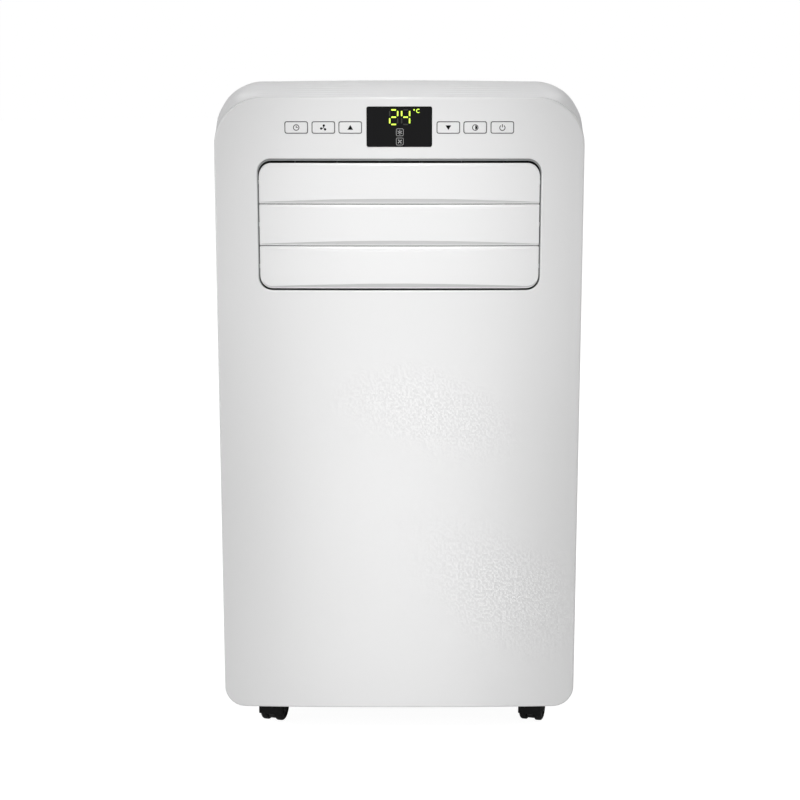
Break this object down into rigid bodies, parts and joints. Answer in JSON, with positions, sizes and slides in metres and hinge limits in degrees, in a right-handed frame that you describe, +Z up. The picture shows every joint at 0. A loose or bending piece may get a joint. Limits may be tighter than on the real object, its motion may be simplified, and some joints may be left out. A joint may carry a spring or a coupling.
{
  "type": "portable air conditioner",
  "caption": "Upright portable room air conditioner on twin-wheel casters, with a bowed front, tilting outlet louvres, key panel, rear filter grilles and a hot-air collar.",
  "frame": {"origin": "on the floor under the centre of the object's bounding box", "axes": "+Z up, -Y out of the front panel, +X to the right seen from the front"},
  "size_m": [0.43, 0.38, 0.7905],
  "materials": {
    "shell_white": "satin white injection-moulded ABS",
    "louver_white": "satin white ABS",
    "button_white": "satin white ABS with printed black marks",
    "display_black": "glossy black window",
    "board_green": "circuit board with solder mask",
    "caster_black": "black nylon",
    "inner_grey": "grey moulded polystyrene",
    "inner_black": "black moulded plastic",
    "filter_grey": "woven nylon mesh in a moulded frame",
    "coil_aluminium": "thin fins",
    "copper": "drawn copper tube",
    "steel_grey": "zinc-plated sheet steel",
    "compressor_black": "semi-gloss black paint",
    "rubber_black": "moulded rubber"
  },
  "bodies": {
    "cabinet": {"front_panel": "shell_white", "rear_casing": "shell_white", "base_pan": "inner_black", "display_lens": "display_black", "display_board": "board_green", "outlet_duct": "inner_grey", "louver_motor": "steel_grey", "crossflow_motor": "steel_grey", "handle_left": "shell_white", "handle_right": "shell_white", "exhaust_collar": "inner_black", "cord_gland": "rubber_black", "evaporator": "coil_aluminium", "drip_tray": "inner_grey", "condenser": "coil_aluminium", "exhaust_housing": "inner_grey", "exhaust_motor": "steel_grey", "compressor": "compressor_black", "suction_pipe": "copper", "discharge_pipe": "copper", "control_box": "steel_grey", "slinger_motor": "steel_grey"},
    "key_timer": {"button_timer": "button_white"},
    "key_fan": {"button_fan": "button_white"},
    "key_up": {"button_up": "button_white"},
    "key_down": {"button_down": "button_white"},
    "key_mode": {"button_mode": "button_white"},
    "key_power": {"button_power": "button_white"},
    "louver_upper": {"louver_upper": "louver_white"},
    "louver_middle": {"louver_middle": "louver_white"},
    "louver_lower": {"louver_lower": "louver_white"},
    "louver_link": {"louver_link": "inner_black"},
    "vane_1": {"vane_1": "louver_white"},
    "vane_2": {"vane_2": "louver_white"},
    "vane_3": {"vane_3": "louver_white"},
    "vane_4": {"vane_4": "louver_white"},
    "vane_5": {"vane_5": "louver_white"},
    "vane_6": {"vane_6": "louver_white"},
    "vane_link": {"vane_link": "inner_black"},
    "crossflow_wheel": {"crossflow_wheel": "inner_black"},
    "exhaust_wheel": {"exhaust_wheel": "inner_black"},
    "slinger_wheel": {"slinger_wheel": "rubber_black"},
    "upper_grille": {"upper_grille": "shell_white"},
    "upper_filter": {"upper_filter": "filter_grey"},
    "lower_grille": {"lower_grille": "shell_white", "lower_filter": "filter_grey"},
    "drain_cap": {"drain_cap": "inner_black"},
    "drain_plug": {"drain_plug": "rubber_black"},
    "caster_front_left_fork": {"caster_front_left_fork": "caster_black"},
    "caster_front_left_wheel_left": {"caster_front_left_wheel_left": "caster_black"},
    "caster_front_left_wheel_right": {"caster_front_left_wheel_right": "caster_black"},
    "caster_front_right_fork": {"caster_front_right_fork": "caster_black"},
    "caster_front_right_wheel_left": {"caster_front_right_wheel_left": "caster_black"},
    "caster_front_right_wheel_right": {"caster_front_right_wheel_right": "caster_black"},
    "caster_rear_left_fork": {"caster_rear_left_fork": "caster_black"},
    "caster_rear_left_wheel_left": {"caster_rear_left_wheel_left": "caster_black"},
    "caster_rear_left_wheel_right": {"caster_rear_left_wheel_right": "caster_black"},
    "caster_rear_right_fork": {"caster_rear_right_fork": "caster_black"},
    "caster_rear_right_wheel_left": {"caster_rear_right_wheel_left": "caster_black"},
    "caster_rear_right_wheel_right": {"caster_rear_right_wheel_right": "caster_black"}
  },
  "joints": [
    {"name": "key_timer_press", "type": "slide", "parent": "cabinet", "child": "key_timer", "axis": [0, 1, 0], "range_m": [0, 0.0011], "stiffness_N_per_m": 300, "springref_m": -0.0006},
    {"name": "key_fan_press", "type": "slide", "parent": "cabinet", "child": "key_fan", "axis": [0, 1, 0], "range_m": [0, 0.0011], "stiffness_N_per_m": 300, "springref_m": -0.0006},
    {"name": "key_up_press", "type": "slide", "parent": "cabinet", "child": "key_up", "axis": [0, 1, 0], "range_m": [0, 0.0011], "stiffness_N_per_m": 300, "springref_m": -0.0006},
    {"name": "key_down_press", "type": "slide", "parent": "cabinet", "child": "key_down", "axis": [0, 1, 0], "range_m": [0, 0.0011], "stiffness_N_per_m": 300, "springref_m": -0.0006},
    {"name": "key_mode_press", "type": "slide", "parent": "cabinet", "child": "key_mode", "axis": [0, 1, 0], "range_m": [0, 0.0011], "stiffness_N_per_m": 300, "springref_m": -0.0006},
    {"name": "key_power_press", "type": "slide", "parent": "cabinet", "child": "key_power", "axis": [0, 1, 0], "range_m": [0, 0.0011], "stiffness_N_per_m": 300, "springref_m": -0.0006},
    {"name": "louver_upper_tilt", "type": "hinge", "parent": "cabinet", "child": "louver_upper", "pos_m": [0, -0.175, 0.68], "axis": [1, 0, 0], "range_deg": [0, 75]},
    {"name": "louver_middle_tilt", "type": "hinge", "parent": "cabinet", "child": "louver_middle", "pos_m": [0, -0.175, 0.631], "axis": [1, 0, 0], "range_deg": [0, 75]},
    {"name": "louver_lower_tilt", "type": "hinge", "parent": "cabinet", "child": "louver_lower", "pos_m": [0, -0.175, 0.582], "axis": [1, 0, 0], "range_deg": [0, 75]},
    {"name": "louver_link_pin", "type": "hinge", "parent": "louver_upper", "child": "louver_link", "pos_m": [0.1758, -0.163, 0.68], "axis": [1, 0, 0], "range_deg": [-75, 0]},
    {"name": "vane_1_turn", "type": "hinge", "parent": "cabinet", "child": "vane_1", "pos_m": [-0.125, -0.118, 0.63], "axis": [0, 0, 1], "range_deg": [-35, 35]},
    {"name": "vane_2_turn", "type": "hinge", "parent": "cabinet", "child": "vane_2", "pos_m": [-0.075, -0.118, 0.63], "axis": [0, 0, 1], "range_deg": [-35, 35]},
    {"name": "vane_3_turn", "type": "hinge", "parent": "cabinet", "child": "vane_3", "pos_m": [-0.025, -0.118, 0.63], "axis": [0, 0, 1], "range_deg": [-35, 35]},
    {"name": "vane_4_turn", "type": "hinge", "parent": "cabinet", "child": "vane_4", "pos_m": [0.025, -0.118, 0.63], "axis": [0, 0, 1], "range_deg": [-35, 35]},
    {"name": "vane_5_turn", "type": "hinge", "parent": "cabinet", "child": "vane_5", "pos_m": [0.075, -0.118, 0.63], "axis": [0, 0, 1], "range_deg": [-35, 35]},
    {"name": "vane_6_turn", "type": "hinge", "parent": "cabinet", "child": "vane_6", "pos_m": [0.125, -0.118, 0.63], "axis": [0, 0, 1], "range_deg": [-35, 35]},
    {"name": "vane_link_pin", "type": "hinge", "parent": "vane_1", "child": "vane_link", "pos_m": [-0.125, -0.092, 0.5896], "axis": [0, 0, 1], "range_deg": [-35, 35]},
    {"name": "crossflow_spin", "type": "hinge", "parent": "cabinet", "child": "crossflow_wheel", "pos_m": [0, -0.01, 0.64], "axis": [1, 0, 0], "continuous": true},
    {"name": "exhaust_spin", "type": "hinge", "parent": "cabinet", "child": "exhaust_wheel", "pos_m": [0, 0.045, 0.215], "axis": [0, 1, 0], "continuous": true},
    {"name": "slinger_spin", "type": "hinge", "parent": "cabinet", "child": "slinger_wheel", "pos_m": [0.186, 0.107, 0.082], "axis": [0, 1, 0], "continuous": true},
    {"name": "upper_grille_hinge", "type": "hinge", "parent": "cabinet", "child": "upper_grille", "pos_m": [0, 0.178, 0.5033], "axis": [-1, 0, 0], "range_deg": [0, 80]},
    {"name": "upper_filter_unclip", "type": "slide", "parent": "upper_grille", "child": "upper_filter", "axis": [0, -1, 0], "range_m": [0, 0.02]},
    {"name": "lower_grille_hinge", "type": "hinge", "parent": "cabinet", "child": "lower_grille", "pos_m": [0, 0.178, 0.0843], "axis": [-1, 0, 0], "range_deg": [0, 80]},
    {"name": "drain_cap_pull", "type": "slide", "parent": "cabinet", "child": "drain_cap", "axis": [0, 1, 0], "range_m": [0, 0.03]},
    {"name": "drain_plug_pull", "type": "slide", "parent": "cabinet", "child": "drain_plug", "axis": [0, 1, 0], "range_m": [0, 0.03]},
    {"name": "caster_front_left_swivel", "type": "hinge", "parent": "cabinet", "child": "caster_front_left_fork", "pos_m": [-0.1625, -0.15, 0.045], "axis": [0, 0, 1], "continuous": true},
    {"name": "caster_front_left_roll_left", "type": "hinge", "parent": "caster_front_left_fork", "child": "caster_front_left_wheel_left", "pos_m": [-0.15707, -0.12972, 0.0173], "axis": [0.9659, -0.2588, 0], "continuous": true},
    {"name": "caster_front_left_roll_right", "type": "hinge", "parent": "caster_front_left_fork", "child": "caster_front_left_wheel_right", "pos_m": [-0.15707, -0.12972, 0.0173], "axis": [0.9659, -0.2588, 0], "continuous": true},
    {"name": "caster_front_right_swivel", "type": "hinge", "parent": "cabinet", "child": "caster_front_right_fork", "pos_m": [0.1625, -0.15, 0.045], "axis": [0, 0, 1], "continuous": true},
    {"name": "caster_front_right_roll_left", "type": "hinge", "parent": "caster_front_right_fork", "child": "caster_front_right_wheel_left", "pos_m": [0.16794, -0.12972, 0.0173], "axis": [0.9659, -0.2588, 0], "continuous": true},
    {"name": "caster_front_right_roll_right", "type": "hinge", "parent": "caster_front_right_fork", "child": "caster_front_right_wheel_right", "pos_m": [0.16794, -0.12972, 0.0173], "axis": [0.9659, -0.2588, 0], "continuous": true},
    {"name": "caster_rear_left_swivel", "type": "hinge", "parent": "cabinet", "child": "caster_rear_left_fork", "pos_m": [-0.1625, 0.122, 0.045], "axis": [0, 0, 1], "continuous": true},
    {"name": "caster_rear_left_roll_left", "type": "hinge", "parent": "caster_rear_left_fork", "child": "caster_rear_left_wheel_left", "pos_m": [-0.15921, 0.14274, 0.0173], "axis": [0.9877, -0.1564, 0], "continuous": true},
    {"name": "caster_rear_left_roll_right", "type": "hinge", "parent": "caster_rear_left_fork", "child": "caster_rear_left_wheel_right", "pos_m": [-0.15921, 0.14274, 0.0173], "axis": [0.9877, -0.1564, 0], "continuous": true},
    {"name": "caster_rear_right_swivel", "type": "hinge", "parent": "cabinet", "child": "caster_rear_right_fork", "pos_m": [0.1625, 0.122, 0.045], "axis": [0, 0, 1], "continuous": true},
    {"name": "caster_rear_right_roll_left", "type": "hinge", "parent": "caster_rear_right_fork", "child": "caster_rear_right_wheel_left", "pos_m": [0.17037, 0.14147, 0.0173], "axis": [0.9272, -0.3746, 0], "continuous": true},
    {"name": "caster_rear_right_roll_right", "type": "hinge", "parent": "caster_rear_right_fork", "child": "caster_rear_right_wheel_right", "pos_m": [0.17037, 0.14147, 0.0173], "axis": [0.9272, -0.3746, 0], "continuous": true}
  ],
  "couplings": [
    {"joint": "louver_middle_tilt", "follows": "louver_upper_tilt", "ratio": 1},
    {"joint": "louver_lower_tilt", "follows": "louver_upper_tilt", "ratio": 1},
    {"joint": "louver_link_pin", "follows": "louver_upper_tilt", "ratio": -1},
    {"joint": "vane_2_turn", "follows": "vane_1_turn", "ratio": 1},
    {"joint": "vane_3_turn", "follows": "vane_1_turn", "ratio": 1},
    {"joint": "vane_4_turn", "follows": "vane_1_turn", "ratio": 1},
    {"joint": "vane_5_turn", "follows": "vane_1_turn", "ratio": 1},
    {"joint": "vane_6_turn", "follows": "vane_1_turn", "ratio": 1},
    {"joint": "vane_link_pin", "follows": "vane_1_turn", "ratio": -1}
  ]
}
